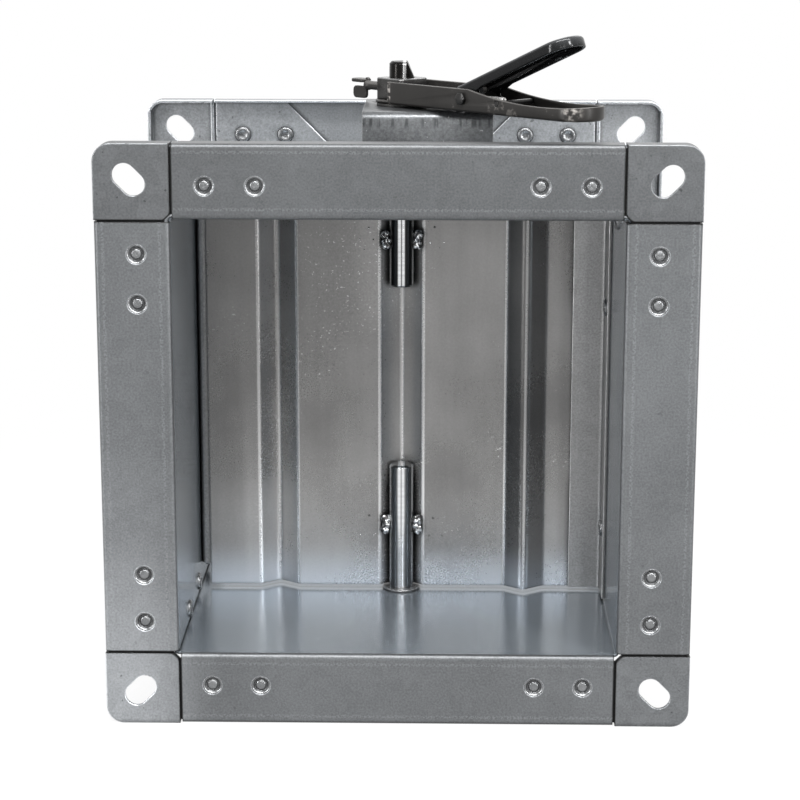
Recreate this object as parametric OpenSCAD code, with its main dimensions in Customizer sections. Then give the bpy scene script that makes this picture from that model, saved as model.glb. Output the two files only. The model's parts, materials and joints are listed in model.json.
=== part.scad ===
// Square duct damper with one folded blade and a locking hand lever.
// X runs to the right, Y from the front flange to the rear flange, Z up.
// The origin is the centre of the opening, on the face of the front flange.

/* [Casing] */
// Clear width of the duct
opening_w = 200; // [180:5:400]
// Clear height of the duct
opening_h = 200; // [180:5:400]
// Length from the front flange face to the rear flange face
casing_l = 205; // [195:5:300]
// Thickness of the casing sheet
sheet_t = 1.2; // [0.8:0.1:2]
// Width of the flanges, from the opening to the outer edge
flange_w = 33.5; // [32:0.5:40]
// Depth of the return lip along the outer edge of the flanges
lip_d = 10; // [6:1:14]
// Bend radius of the casing sheet, to its middle
bend_r = 1.5; // [1.2:0.1:1.6]
// Height of the seam lip folded up outside the next wall
seam_lip = 15; // [12:1:20]
// Distance of the seam clinches from the inner corner
seam_inset = 6.5; // [6:0.5:8]
// First seam clinch, from the front face
seam_first = 47; // [40:1:60]
// Pitch of the seam clinches
seam_pitch = 43; // [36:1:44]
// Number of clinches along a seam
seam_count = 4; // [3:1:4]

/* [Corner plates] */
// Thickness of the stamped corner plates
plate_t = 1.5; // [1:0.1:2]
// Radius of the outer corner of a plate
plate_r = 8; // [4:1:12]
// Chamfer at the inner corner of a plate
plate_chamfer = 2.5; // [1:0.5:4]
// Half of the gap between the end of a flange and a plate
seam_gap = 0.45; // [0.3:0.05:0.8]
// Distance of the bolt slot's centre from both outer edges
slot_inset = 15.8; // [14:0.2:18]
// Width of the bolt slot
slot_w = 10.5; // [7:0.5:12]
// Length of the bolt slot, end to end
slot_l = 16; // [14:0.5:18]
// Length of a leg along the outer edge
leg_l = 37; // [34:1:44]
// Clinch nearest to the plate, from the end of the flange
clinch_first = 14.2; // [12:0.2:16]
// Distance between the two clinches of a leg
clinch_pitch = 22.2; // [14:0.2:24]
// Distance of the clinches from the outer edge of the flange
clinch_inset = 18.5; // [15:0.5:20]
// Radius of a clinch at the sheet's face
clinch_r = 4.35; // [3.5:0.05:5]
// Height of a clinch button behind the sheets
clinch_h = 1.4; // [0.8:0.1:2]

/* [Blade] */
// Width of the blade across the duct
blade_w = 190; // [170:1:190]
// Thickness of the blade sheet
blade_t = 1.2; // [0.8:0.1:2]
// Gap between the blade's ends and the duct
blade_gap = 1.8; // [1.6:0.1:3]
// Distance of the stiffening folds from the shaft
fold_x = 60.5; // [40:0.5:65]
// Half width of a stiffening fold
fold_half = 9.6; // [7:0.1:11]
// Depth of a stiffening fold
fold_d = 7.5; // [4:0.5:9]
// Half width of the groove that holds the shafts
groove_half = 10.6; // [9.6:0.1:12]

/* [Shafts and bushes] */
// Diameter of the shafts
shaft_d = 12; // [10:0.5:12]
// Length of the lower stub above the duct's floor
lower_in = 64; // [40:1:70]
// Length of the upper shaft below the duct's ceiling
upper_in = 47; // [40:1:70]
// Height of the lower weld beads above the floor
lower_bead = 33; // [20:1:38]
// Depth of the upper weld beads below the ceiling
upper_bead = 24; // [15:1:38]
// Radius of a weld bead
bead_r = 2.6; // [1.8:0.1:2.8]
// Length of a weld bead
bead_l = 10; // [7:0.5:12]
// Diameter of a bush flange
bush_flange_d = 18.5; // [17:0.5:22]
// Thickness of a bush flange
bush_flange_t = 1.3; // [0.8:0.1:1.3]
// Diameter of a bush body
bush_d = 15; // [14:0.5:16]
// Length of a bush below its flange
bush_l = 8; // [5:0.5:12]
// Thickness of the retaining clip
clip_t = 1; // [0.8:0.1:1.5]

/* [Blade stops] */
// Thickness of the stop angles
stop_t = 1.5; // [1:0.1:2]
// Width of a stop angle's leg beside the blade
stop_b = 17; // [15:0.5:20]
// Depth of a stop angle's leg on the wall
stop_a = 20; // [17:0.5:25]
// Upper clinch of a stop, above the middle of the duct
stop_high = 45; // [20:1:70]
// Lower clinch of a stop, below the middle of the duct
stop_low = 65; // [20:1:80]

/* [Bracket] */
// Thickness of the bracket
bracket_t = 2; // [1.5:0.1:2.5]
// Height of the bracket above the casing
bracket_h = 39.3; // [36:0.1:60]
// Depth of the bracket, front to rear
bracket_d = 66; // [64:1:80]
// Reach of the bracket to the left of the shaft
bracket_left = 18; // [15:1:30]
// Reach of the bracket to the right of the shaft
bracket_right = 43; // [43:0.5:60]
// Depth of a foot of the bracket
foot_d = 13; // [11:0.5:16]
// Radius of the bracket's bends, to the middle of the sheet
bracket_r = 3; // [2:0.5:4]
// Radius of the row of locking notches
notch_r = 38.5; // [37:0.5:38.5]
// Length of a notch along its radius
notch_l = 4.5; // [4:0.5:5]
// Width of a notch
notch_w = 3; // [2.6:0.1:3.4]
// Number of locking notches over the quarter turn
notch_count = 13; // [7:1:13]
// Diameter of a rivet's shank
rivet_d = 4; // [3:0.5:5]

/* [Handle] */
// Turn of the handle from the X axis when the blade is closed
handle_turn = -45; // [-45:5:-40]
// Width of the handle arm
arm_w = 25; // [24.5:0.5:28]
// Thickness of the pressed steel
arm_t = 1.5; // [1.2:0.1:1.8]
// Height of the arm's walls at the hub
arm_h = 10.5; // [10:0.1:12]
// Height of the arm's walls at the grip
grip_h = 5.6; // [5.4:0.1:7]
// Length from the shaft to the tip of the arm
arm_l = 123.5; // [118:0.5:150]
// Distance from the shaft at which the arm's walls start
wall_start = 2.8; // [2:0.1:6]
// Distance from the shaft at which the walls begin to drop
dip_start = 56; // [55:0.5:58]
// Distance from the shaft at which the walls are at grip height
dip_end = 100; // [85:1:105]
// Side of the square hub
hub_w = 18; // [17:0.5:19]
// Height of the hub above the rim of the arm
hub_rise = 1.2; // [0.5:0.1:3]
// Height of the shaft's end above the hub
shaft_out = 7.6; // [6:0.1:12]
// Thickness of the washer between bracket and arm
washer_t = 1.2; // [1:0.1:3]
// Diameter of the washer
washer_d = 24; // [20:0.5:28]

/* [Trigger] */
// Distance of the pivot from the shaft
pivot_s = 52; // [50:0.5:54]
// Height of the pivot above the arm's floor
pivot_h = 4.5; // [4.3:0.1:5]
// Diameter of the pivot bolt
pivot_d = 4; // [4:0.5:5]
// Radius of an ear of the trigger
ear_r = 4; // [3.9:0.1:4.2]
// Rise of the trigger at rest
trigger_rise = 22.5; // [20:0.5:25]
// Length from the pivot to the tip of the trigger
trigger_l = 66; // [60:1:70]
// Height of the trigger's back above its pivot
trigger_top = 6.6; // [6:0.1:7.5]
// Height of the trigger's side walls
trigger_wall = 5; // [4:0.1:5]
// Length of the tail from the pivot towards the shaft
tail_l = 16; // [15.5:0.5:17]
// Diameter of the return spring's coil
spring_d = 4.6; // [4:0.1:5]
// Diameter of the spring's wire
wire_d = 0.7; // [0.6:0.05:0.8]
// Number of coils
spring_turns = 10; // [6:1:12]
// Distance of the spring pin from the shaft
pin_s = 74; // [72:0.5:76]
// Diameter of the spring pin
pin_d = 2.4; // [2:0.1:2.6]
// Sideways distance of the spring from the middle of the arm
spring_side = 3.5; // [3:0.5:6]

/* [Hidden] */
$fn = 48;

// Clearances
fit = 0.03;
run_fit = 0.05;
loose_fit = 0.35;
rest_gap = 0.3;
stop_gap = 1.5;
joggle = 1.4;
joggle_w = 1.1;
joggle_d = 0.9;
rivet_inset = 10;
eps = 0.01;
big = 400;

// Casing
half_w = opening_w / 2;
half_h = opening_h / 2;
edge_w = half_w + flange_w;
edge_h = half_h + flange_w;
flange_end = 0.65 + seam_gap;
relief = sheet_t + plate_t + 0.5;
lip_x = half_w + 1.5 * sheet_t + fit;
plate_start = half_w - 0.65 + seam_gap;
clinch_depth = sheet_t + plate_t;

// Shaft line and blade
shaft_y = casing_l / 2;
shaft_r = shaft_d / 2;
blade_h = opening_h - 2 * blade_gap;
groove_angle = asin((shaft_r + fit + blade_t / 2) / groove_half);
groove_d = groove_half * tan(groove_angle);
blade_bend = 3;

// Heights of the handle's parts
case_top = half_h + sheet_t;
bracket_top = case_top + bracket_h;
arm_z = bracket_top + washer_t + 2 * run_fit;
arm_floor = arm_z + arm_t;
rim_z = arm_z + arm_h;
hub_top = rim_z + hub_rise;
shaft_top = hub_top + shaft_out;
pivot_z = arm_floor + pivot_h;
arm_r = arm_w / 2;
arm_inner = arm_r - arm_t;
trigger_r = arm_inner - rest_gap;

// Blade stops
stop_end = half_h - stop_gap;
stop_seam_end = half_h - seam_inset - clinch_r - 1;
stop_wall = sheet_t + fit + stop_t;
stop_mid = (stop_a + stop_b) / 4 + 2.5;

// Strip of sheet with rounded bends, drawn along a path of its middle line
function unit(v) = v / norm(v);
function side(v) = [-v[1], v[0]];
function turned(v, a) = [v[0] * cos(a) - v[1] * sin(a), v[0] * sin(a) + v[1] * cos(a)];
function bend(a, b, c, r, o, n) =
    let (d1 = unit(b - a), d2 = unit(c - b))
    let (turn = atan2(d1[0] * d2[1] - d1[1] * d2[0], d1 * d2), s = sign(turn))
    let (centre = b - d1 * r * tan(abs(turn) / 2) + side(d1) * r * s)
    [for (k = [0:n]) centre + turned(-side(d1) * s * (r - o * s), turn * k / n)];
function strip_side(p, r, o, n) = let (m = len(p) - 1) concat(
    [p[0] + side(unit(p[1] - p[0])) * o],
    [for (i = [1:1:m - 1]) each bend(p[i - 1], p[i], p[i + 1], r, o, n)],
    [p[m] + side(unit(p[m] - p[m - 1])) * o]);
function backwards(p) = [for (i = [len(p) - 1:-1:0]) p[i]];
module strip(p, t, r, n = 4)
    polygon(concat(strip_side(p, r, t / 2, n), backwards(strip_side(p, r, -t / 2, n))));

// Extrusions of a drawing along the three axes
module along_x(x0, x1) translate([x0, 0, 0]) rotate([90, 0, 90]) linear_extrude(x1 - x0) children();
module along_y(y0, y1) translate([0, y1, 0]) rotate([90, 0, 0]) linear_extrude(y1 - y0) children();
module along_z(z0, z1) translate([0, 0, z0]) linear_extrude(z1 - z0) children();
module hole_y(x, z, r) translate([x, casing_l + 1, z]) rotate([90, 0, 0]) cylinder(h = casing_l + 2, r = r);

// Places along a flange where the legs are clinched
function clinch_at(half) = [for (s = [-1, 1], k = [0, 1])
    s * (half - flange_end - clinch_first - k * clinch_pitch)];

// One wall of the casing with its front and rear flanges
module wall(dist, half) {
    m = sheet_t / 2;
    edge = dist + flange_w - m;
    difference() {
        along_x(-half + flange_end, half - flange_end)
            strip([[lip_d, edge], [m, edge], [m, dist + m], [casing_l - m, dist + m],
                [casing_l - m, edge], [casing_l - lip_d, edge]], sheet_t, bend_r);
        for (x = clinch_at(half))
            hole_y(x, dist + flange_w - clinch_inset, clinch_r + fit);
    }
}

// Bottom and right walls folded from one sheet, with the lip of the left seam
module casing_half() {
    m = sheet_t / 2;
    c = flange_end;
    rotate([0, 180, 0]) wall(half_h, half_w);
    rotate([0, 90, 0]) wall(half_w, half_h);
    along_y(relief, casing_l - relief)
        strip([[half_w - c, -half_h - m], [half_w + m, -half_h - m], [half_w + m, -half_h + c]],
            sheet_t, bend_r);
    along_y(relief, casing_l - relief)
        strip([[-half_w + c, -half_h - m], [-lip_x, -half_h - m], [-lip_x, -half_h + seam_lip]],
            sheet_t, bend_r);
}

function seam_at() = [for (k = [0:seam_count - 1]) seam_first + k * seam_pitch];
module seam_holes()
    for (y = seam_at(), s = [-1, 1])
        translate([s * (half_w - 1), y, s * (half_h - seam_inset)]) rotate([0, s * 90, 0])
            cylinder(h = lip_x - half_w + sheet_t + 2, r = clinch_r + fit);
module stop_holes()
    for (s = [-1, 1], z = [stop_high, -stop_low])
        translate([s * (half_w - stop_t - 1), shaft_y - s * stop_mid, z]) rotate([0, s * 90, 0])
            cylinder(h = stop_t + sheet_t + 2, r = clinch_r + fit);
module shaft_hole(r, z0, z1) translate([0, shaft_y, z0]) cylinder(h = z1 - z0, r = r);

module casing_bottom_right() color("#8c9396") difference() {
    casing_half();
    shaft_hole(bush_d / 2 + fit, -half_h - 3, -half_h + 1);
    seam_holes();
    stop_holes();
}

module casing_left_top() color("#8c9396") difference() {
    rotate([0, 180, 0]) casing_half();
    shaft_hole(bush_d / 2 + fit, half_h - 1, half_h + 3);
    seam_holes();
    stop_holes();
    for (p = rivet_at())
        translate([p[0], p[1], half_h - 1]) cylinder(h = 4, r = rivet_d / 2 + fit);
}

// Corner plate, drawn for the top right corner and seen from its outer face
module corner_square(inset) {
    r = plate_r - inset;
    x1 = edge_w - inset;
    z1 = edge_h - inset;
    c = plate_chamfer;
    a = plate_start;
    b = plate_start - half_w + half_h;
    polygon([[a, b + c], [a + c, b], [x1, b], [x1, z1 - r], [x1 - r, z1], [a, z1]]);
    translate([x1 - r, z1 - r]) circle(r);
}
module leg_outline() {
    z0 = half_h + sheet_t + 1.1;
    z1 = edge_h - sheet_t - 0.2;
    x0 = plate_start + plate_t;
    x1 = half_w - flange_end - leg_l;
    polygon([[x0, z0], [x0, z1], [x1, z1], [x1 - (z1 - z0), z0]]);
}
module both_legs() {
    leg_outline();
    translate([half_w - half_h, 0]) mirror([1, -1]) translate([half_h - half_w, 0])
        leg_outline();
}
module corner_plate() difference() {
    union() {
        along_y(0, plate_t) corner_square(0);
        along_y(0, lip_d) difference() {
            corner_square(0);
            corner_square(plate_t);
            translate([plate_start - 5, plate_start - half_w + half_h - 5])
                square([edge_w - plate_start + 5 - plate_t, edge_h - plate_start]);
        }
        along_y(0, sheet_t + plate_t) difference() {
            corner_square(plate_t);
            translate([plate_start + plate_t, plate_start - half_w + half_h + plate_t])
                square([flange_w, flange_w]);
        }
        along_y(sheet_t, sheet_t + plate_t) both_legs();
    }
    translate([edge_w - slot_inset, -1, edge_h - slot_inset]) rotate([0, -45, 0]) bolt_slot();
    translate([half_w - joggle, sheet_t + plate_t - joggle_d, half_h])
        cube([joggle_w, joggle_d + 1, flange_w]);
    translate([half_w, sheet_t + plate_t - joggle_d, half_h - joggle])
        cube([flange_w, joggle_d + 1, joggle_w]);
    for (x = [0, 1]) {
        hole_y(half_w - flange_end - clinch_first - x * clinch_pitch, edge_h - clinch_inset,
            clinch_r + fit);
        hole_y(edge_w - clinch_inset, half_h - flange_end - clinch_first - x * clinch_pitch,
            clinch_r + fit);
    }
}
module bolt_slot() along_y(0, sheet_t + plate_t + 2) {
    square([slot_l - slot_w, slot_w], center = true);
    for (s = [-1, 1]) translate([s * (slot_l - slot_w) / 2, 0]) circle(slot_w / 2);
}
// Plate at a corner: sx and sz choose the side, rear turns it to the rear flange
module place_plate(sx, sz, rear) color("#838a8d")
    translate([0, rear ? casing_l : 0, 0])
        mirror([0, rear ? 1 : 0, 0]) mirror([sx < 0 ? 1 : 0, 0, 0]) mirror([0, 0, sz < 0 ? 1 : 0])
            corner_plate();

// Round press joint: a dish with a pip on one side and a dimpled button on the other
module clinch(stack) rotate_extrude()
    polygon([[0, 0.8], [0.7, 0.6], [1.7, 0.6], [2.2, 1], [2.4, 1.8], [3, 1.8],
        [clinch_r - 1.1, 0.75], [clinch_r, 0], [clinch_r, stack],
        [clinch_r - 0.4, stack + clinch_h * 0.65], [clinch_r - 1.1, stack + clinch_h],
        [2, stack + clinch_h], [1.4, stack + clinch_h - 0.5], [0, stack + clinch_h - 0.5]]);
module flange_clinches() {
    for (s = [-1, 1], x = clinch_at(half_w))
        translate([x, 0, s * (edge_h - clinch_inset)]) rotate([-90, 0, 0]) clinch(clinch_depth);
    for (s = [-1, 1], z = clinch_at(half_h))
        translate([s * (edge_w - clinch_inset), 0, z]) rotate([-90, 0, 0]) clinch(clinch_depth);
}
module front_flange_clinches() color("#9aa1a4") flange_clinches();
module rear_flange_clinches() color("#9aa1a4")
    translate([0, casing_l, 0]) mirror([0, 1, 0]) flange_clinches();
module seam_clinches() color("#9aa1a4")
    for (y = seam_at(), s = [-1, 1])
        translate([s * (lip_x + sheet_t / 2), y, s * (half_h - seam_inset)])
            rotate([0, -s * 90, 0]) clinch(2 * sheet_t + fit);
module stop_clinches() color("#9aa1a4")
    for (s = [-1, 1], z = [stop_high, -stop_low])
        translate([s * (half_w + sheet_t), shaft_y - s * stop_mid, z])
            rotate([0, -s * 90, 0]) clinch(stop_wall);

// Stop angle in front of the right edge of the blade
module right_angle(z0, z1) {
    y0 = shaft_y - blade_t / 2 - rest_gap - stop_t / 2;
    x0 = half_w - fit - stop_t / 2;
    difference() {
        along_z(z0, z1)
            strip([[half_w - stop_b, y0], [x0, y0], [x0, y0 + stop_t / 2 - stop_a]], stop_t, 2.6);
        for (z = [stop_high, -stop_low])
            translate([half_w - stop_t - 1, shaft_y - stop_mid, z]) rotate([0, 90, 0])
                cylinder(h = stop_t + 2, r = clinch_r + fit);
    }
}
module right_stop() color("#8f9699") right_angle(-stop_end, stop_seam_end);
module left_stop() color("#8f9699")
    translate([0, 2 * shaft_y, 0]) mirror([0, 1, 0]) mirror([1, 0, 0])
        right_angle(-stop_seam_end, stop_end);

// Blade: one folded sheet with two stiffening folds and a groove for the shafts
module blade_outline() {
    f = fold_half;
    translate([0, shaft_y])
        strip([[-blade_w / 2, 0], [-fold_x - f, 0], [-fold_x, fold_d], [-fold_x + f, 0],
            [-groove_half, 0], [0, groove_d], [groove_half, 0],
            [fold_x - f, 0], [fold_x, -fold_d], [fold_x + f, 0], [blade_w / 2, 0]],
            blade_t, blade_bend);
}
module blade() color("#8d8b88") along_z(-blade_h / 2, blade_h / 2) blade_outline();

// Bush: a flange inside the duct and a body through the sheet, drawn for the floor
module bush(h) translate([0, shaft_y, 0]) rotate_extrude()
    polygon([[shaft_r + run_fit, -h - bush_l], [bush_d / 2, -h - bush_l], [bush_d / 2, -h],
        [bush_flange_d / 2, -h], [bush_flange_d / 2, -h + bush_flange_t - 0.4],
        [bush_flange_d / 2 - 0.4, -h + bush_flange_t], [shaft_r + run_fit, -h + bush_flange_t]]);
module lower_bush() color("#b9b6a8") bush(half_h);
module upper_bush() color("#b9b6a8") mirror([0, 0, 1]) bush(half_h);

// Round bar with chamfered ends
module bar(z0, z1, r, c) rotate_extrude()
    polygon([[0, z0], [r - c, z0], [r, z0 + c], [r, z1 - c], [r - c, z1], [0, z1]]);
clip_z = -half_h - bush_l - rest_gap - clip_t;
module lower_stub_shaft() color("#a5a7a8") translate([0, shaft_y, 0]) difference() {
    bar(clip_z - 3, -half_h + lower_in, shaft_r, 1);
    translate([0, 0, clip_z - fit]) difference() {
        cylinder(h = clip_t + 2 * fit, r = shaft_r + 1);
        cylinder(h = clip_t + 2 * fit, r = shaft_r - 1);
    }
}
module shaft_clip() color("#5a5b5c") translate([0, shaft_y, clip_z]) difference() {
    cylinder(h = clip_t, r = shaft_r + 3);
    translate([0, 0, -1]) cylinder(h = clip_t + 2, r = shaft_r - 1 + fit);
    translate([0, -shaft_r * 0.6, -1]) cube([shaft_d, shaft_r * 1.2, clip_t + 2]);
}
// Upper shaft: its end has a slot in line with the blade, and its right side is cut slanted
module drive_shaft() color("#77756f") translate([0, shaft_y, 0]) difference() {
    bar(half_h - upper_in, shaft_top, shaft_r, 1);
    translate([-shaft_d, -1.1, shaft_top - 2.6]) cube([2 * shaft_d, 2.2, 4]);
    translate([shaft_r, 0, hub_top]) rotate([0, -end_slant, 0]) translate([0, -shaft_d, -1])
        cube([shaft_d, 2 * shaft_d, 3 * shaft_out]);
}
end_slant = 24;
// Weld bead between a shaft and the edge of the groove, on the right side: two runs, cut to
// the shaft, to the slope of the groove and to the blade's face
module weld_bead() {
    long = bead_l + 2;
    difference() {
        for (k = [0, 1])
            translate([groove_half - bead_r + 0.2, -blade_t / 2 - 0.9, (0.5 - k) * (bead_l - 2 * bead_r)])
                sphere(bead_r * (1 - 0.1 * k));
        translate([0, 0, -long / 2]) cylinder(h = long, r = shaft_r + eps);
        rotate([0, 0, -groove_angle]) translate([-shaft_d, shaft_r + fit - eps, -long / 2])
            cube([2 * shaft_d, shaft_d, long]);
        translate([groove_half - 1, -blade_t / 2 - eps, -long / 2]) cube([shaft_d, shaft_d, long]);
    }
}
module weld_beads() color("#b0b1b1")
    for (s = [0, 1], z = [-half_h + lower_bead, half_h - upper_bead])
        translate([0, shaft_y, z]) mirror([s, 0, 0]) weld_bead();

// Bracket: front and rear feet, two legs and a top plate with the locking notches
function rivet_at() = [for (x = [-bracket_left + rivet_inset, bracket_right - rivet_inset], s = [-1, 1])
    [x, shaft_y + s * (bracket_d / 2 + foot_d / 2)]];
module notch() {
    translate([notch_r - notch_l / 2 + notch_w / 2, -notch_w / 2])
        square([notch_l - notch_w, notch_w]);
    for (s = [-1, 1]) translate([notch_r + s * (notch_l - notch_w) / 2, 0]) circle(notch_w / 2);
}
module quadrant_bracket() color("#8a8b86") difference() {
    m = bracket_t / 2;
    d = bracket_d / 2 - m;
    along_x(-bracket_left, bracket_right)
        translate([shaft_y, case_top + fit])
            strip([[-d - foot_d, m], [-d, m], [-d, bracket_h - m - fit], [d, bracket_h - m - fit],
                [d, m], [d + foot_d, m]], bracket_t, bracket_r);
    shaft_hole(shaft_r + loose_fit, case_top + 5, bracket_top + 1);
    translate([0, shaft_y, 0]) along_z(bracket_top - bracket_t - 1, bracket_top + 1)
        for (k = [0:notch_count - 1]) rotate([0, 0, handle_turn + 90 * k / (notch_count - 1)]) notch();
    for (p = rivet_at())
        translate([p[0], p[1], case_top - 1]) cylinder(h = bracket_t + 2, r = rivet_d / 2 + fit);
}
module rivet(grip) rotate_extrude() difference() {
    union() {
        translate([0, -0.7 - fit]) square([rivet_d / 2, grip + 1.4 + 2 * fit]);
        translate([0, -0.7 - fit]) square([rivet_d * 0.8, 0.7]);
        intersection() {
            translate([0, grip + fit + 1.5 - rivet_d * 1.25]) circle(rivet_d * 1.25);
            translate([0, grip + fit]) square([rivet_d * 1.25, rivet_d]);
        }
    }
    translate([-big, -big / 2]) square([big, big]);
}
module bracket_rivets() color("#a0a3a4")
    for (p = rivet_at()) translate([p[0], p[1], half_h]) rivet(sheet_t + bracket_t + fit);

module thrust_washer() color("#c8c6bd") translate([0, shaft_y, bracket_top + run_fit / 2])
    difference() {
        cylinder(h = washer_t, r = washer_d / 2);
        translate([0, 0, -1]) cylinder(h = washer_t + 2, r = shaft_r + loose_fit);
    }

// Frame of the handle: local X runs along the arm, local Y to its far side
module on_handle() translate([0, shaft_y, 0]) rotate([0, 0, handle_turn]) children();
module across(s, z, r, y0, y1) translate([s, y1, z]) rotate([90, 0, 0]) cylinder(h = y1 - y0, r = r);

// Height of the arm's rim at a distance s from the shaft
function rim(s) = let (low = arm_z + grip_h, x = (s - dip_start) / (dip_end - dip_start))
    s <= dip_start ? rim_z : s < dip_end ? low + (rim_z - low) * pow(1 - x, 2)
    : low + pow((s - dip_end) / (arm_l - dip_end), 2);
module arm_side() polygon(concat(
    [[-arm_r - 1, arm_z - 1], [-arm_r - 1, rim_z]],
    [for (k = [0:12]) let (s = dip_start + (arm_l - dip_start) * k / 12) [s, rim(s)]],
    [[arm_l + 1, rim(arm_l)], [arm_l + 1, arm_z - 1]]));
module rounded_bar(x0, x1, r) {
    translate([x0, -r]) square([x1 - x0, 2 * r]);
    translate([x1, 0]) circle(r);
}
tooth_slot_l = 8;
tooth_slot_w = 4;
module handle_arm() color("#35352f") on_handle() difference() {
    intersection() {
        along_z(arm_z, rim_z + arm_h) {
            rounded_bar(0, arm_l - arm_r, arm_r);
            circle(arm_r);
        }
        along_y(-arm_w, arm_w) arm_side();
    }
    along_z(arm_floor, rim_z + arm_h) {
        rounded_bar(0, arm_l - arm_r, arm_inner);
        translate([-arm_w, -arm_w]) square([arm_w + wall_start, 2 * arm_w]);
    }
    translate([0, 0, arm_z - 1]) cylinder(h = arm_t + 2, r = shaft_r + fit);
    translate([notch_r - 5, -tooth_slot_w / 2, arm_z - 1])
        cube([tooth_slot_l, tooth_slot_w, arm_t + 2]);
    across(pivot_s, pivot_z, pivot_d / 2 + fit, -arm_w, arm_w);
    across(pin_s, pin_z, pin_d / 2 + fit, -arm_w, arm_w);
}

module hub_block() color("#6c6a5e") on_handle() difference() {
    along_z(arm_floor, hub_top) difference() {
        square(hub_w, center = true);
        circle(shaft_r + fit);
        for (a = [0:90:270]) rotate(a) translate([hub_w / 2, hub_w / 2]) rotate(45)
            square(2, center = true);
    }
    translate([0, 0, screw_z]) rotate([0, -90, 0]) cylinder(h = hub_w, r = screw_d / 2 + fit);
}

// Wing screw that clamps the hub on the shaft
screw_d = 5;
screw_z = (arm_floor + hub_top) / 2;
screw_out = 20.5;
wing_l = 12;
wing_t = 1.8;
wing_r = 5.9;
ear_l = 8.4;
module soft_square(w, h, r) {
    translate([r, 0]) square([w - 2 * r, h]);
    translate([0, r]) square([w, h - 2 * r]);
    for (x = [r, w - r], y = [r, h - r]) translate([x, y]) circle(r);
}
module wing_outline() {
    translate([0, -screw_d / 2]) square([2.5, screw_d]);
    for (s = [0, 1]) mirror([0, s]) {
        translate([1.2, 1.2]) square([wing_l - ear_l, 2.2]);
        translate([wing_l - ear_l, 1]) soft_square(ear_l, wing_r - 1, 1.4);
    }
}
module wing_screw() color("#3b3b38") on_handle() translate([0, 0, screw_z]) {
    rotate([0, -90, 0]) translate([0, 0, shaft_r + run_fit])
        cylinder(h = screw_out - shaft_r, r = screw_d / 2);
    translate([-screw_out, 0, 0]) rotate([65, 0, 0]) mirror([1, 0, 0])
        along_z(-wing_t / 2, wing_t / 2) wing_outline();
}

head_h = 1.6;
head_r = 3;
nut_h = 3.5;
module pivot_bolt() color("#4a4944") on_handle() translate([pivot_s, 0, pivot_z]) {
    rotate([-90, 0, 0]) translate([0, 0, -arm_r - fit - head_h]) {
        cylinder(h = head_h, r = head_r, $fn = 6);
        cylinder(h = head_h + arm_w + 2 * fit + nut_h + 1.5, r = pivot_d / 2);
    }
}
module pivot_nut() color("#4a4944") on_handle() translate([pivot_s, arm_r + fit, pivot_z])
    rotate([-90, 0, 0]) difference() {
        cylinder(h = nut_h, r = pivot_d * 0.9, $fn = 6);
        translate([0, 0, -1]) cylinder(h = nut_h + 2, r = pivot_d / 2 + fit);
    }

pin_z = arm_floor + 3.6;
module spring_pin() color("#4a4944") on_handle() across(pin_s, pin_z, pin_d / 2, -arm_r, arm_r);

// Trigger: local X runs along the trigger from its pivot, Z away from its back
module on_trigger() on_handle() translate([pivot_s, 0, pivot_z]) rotate([0, -trigger_rise, 0])
    children();
tail_w = 7;
module trigger_plan(r, inner) {
    rounded_bar(-3 - inner, trigger_l - trigger_r, r);
    translate([-tail_l, -tail_w / 2]) square([tail_l, tail_w]);
}
tab_x = 3.4;
module trigger_lever() color("#1f1f1d") on_trigger() difference() {
    union() {
        difference() {
            along_z(trigger_top - trigger_wall, trigger_top) trigger_plan(trigger_r, 0);
            along_z(trigger_top - trigger_wall - 1, trigger_top - arm_t)
                rounded_bar(-3 - arm_w, trigger_l - trigger_r, trigger_r - arm_t);
        }
        for (s = [-1, 1]) difference() {
            translate([0, s * (trigger_r - arm_t / 2) + arm_t / 2, 0]) rotate([90, 0, 0])
                linear_extrude(arm_t) ear_outline();
        }
        translate([tab_x, -spring_side - 1.5, -ear_r + 0.6])
            cube([arm_t, 3, trigger_top - arm_t + ear_r - 0.5]);
    }
    across(0, 0, pivot_d / 2 + run_fit, -arm_w, arm_w);
    translate([tab_x - 1, -spring_side, tab_hole]) rotate([0, 90, 0]) cylinder(h = 5, r = wire_d);
}
tab_hole = -2.4;
ear_web = 9;
module ear_outline() {
    circle(ear_r);
    polygon([[-ear_r, 0], [ear_r, 0], [ear_r + ear_web, trigger_top - trigger_wall + 0.2],
        [ear_r, trigger_top - 0.2], [-ear_r + 1, trigger_top - 0.2]]);
}

// Tooth that drops into the notches, shown at rest just clear of the plate
module lock_tooth() color("#5b5950") on_handle() {
    z0 = bracket_top + rest_gap;
    z1 = pivot_z + (notch_r - 1.4 - pivot_s) * tan(trigger_rise)
        + (trigger_top - arm_t) / cos(trigger_rise) - 0.6;
    translate([notch_r - 1.4, -1.2, z0]) cube([2.8, 2.4, z1 - z0]);
}

// Tube along a list of points, as the wire of the spring
function ring(p, q, r, k) =
    let (t = (q - p) / norm(q - p), a = cross(t, [0.13, 0.21, 0.97]), b = a / norm(a), c = cross(t, b))
    [for (i = [0:k - 1]) p + r * (cos(360 * i / k) * b + sin(360 * i / k) * c)];
module tube(p, r, k = 6) {
    n = len(p);
    points = [for (i = [0:n - 1]) each ring(p[i], i < n - 1 ? p[i + 1] : 2 * p[i] - p[i - 1], r, k)];
    sides = [for (i = [0:n - 2], j = [0:k - 1])
        [i * k + j, i * k + (j + 1) % k, (i + 1) * k + (j + 1) % k, (i + 1) * k + j]];
    polyhedron(points, concat([[for (j = [k - 1:-1:0]) j]], sides, [[for (j = [0:k - 1]) (n - 1) * k + j]]),
        convexity = 4);
}
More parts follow.
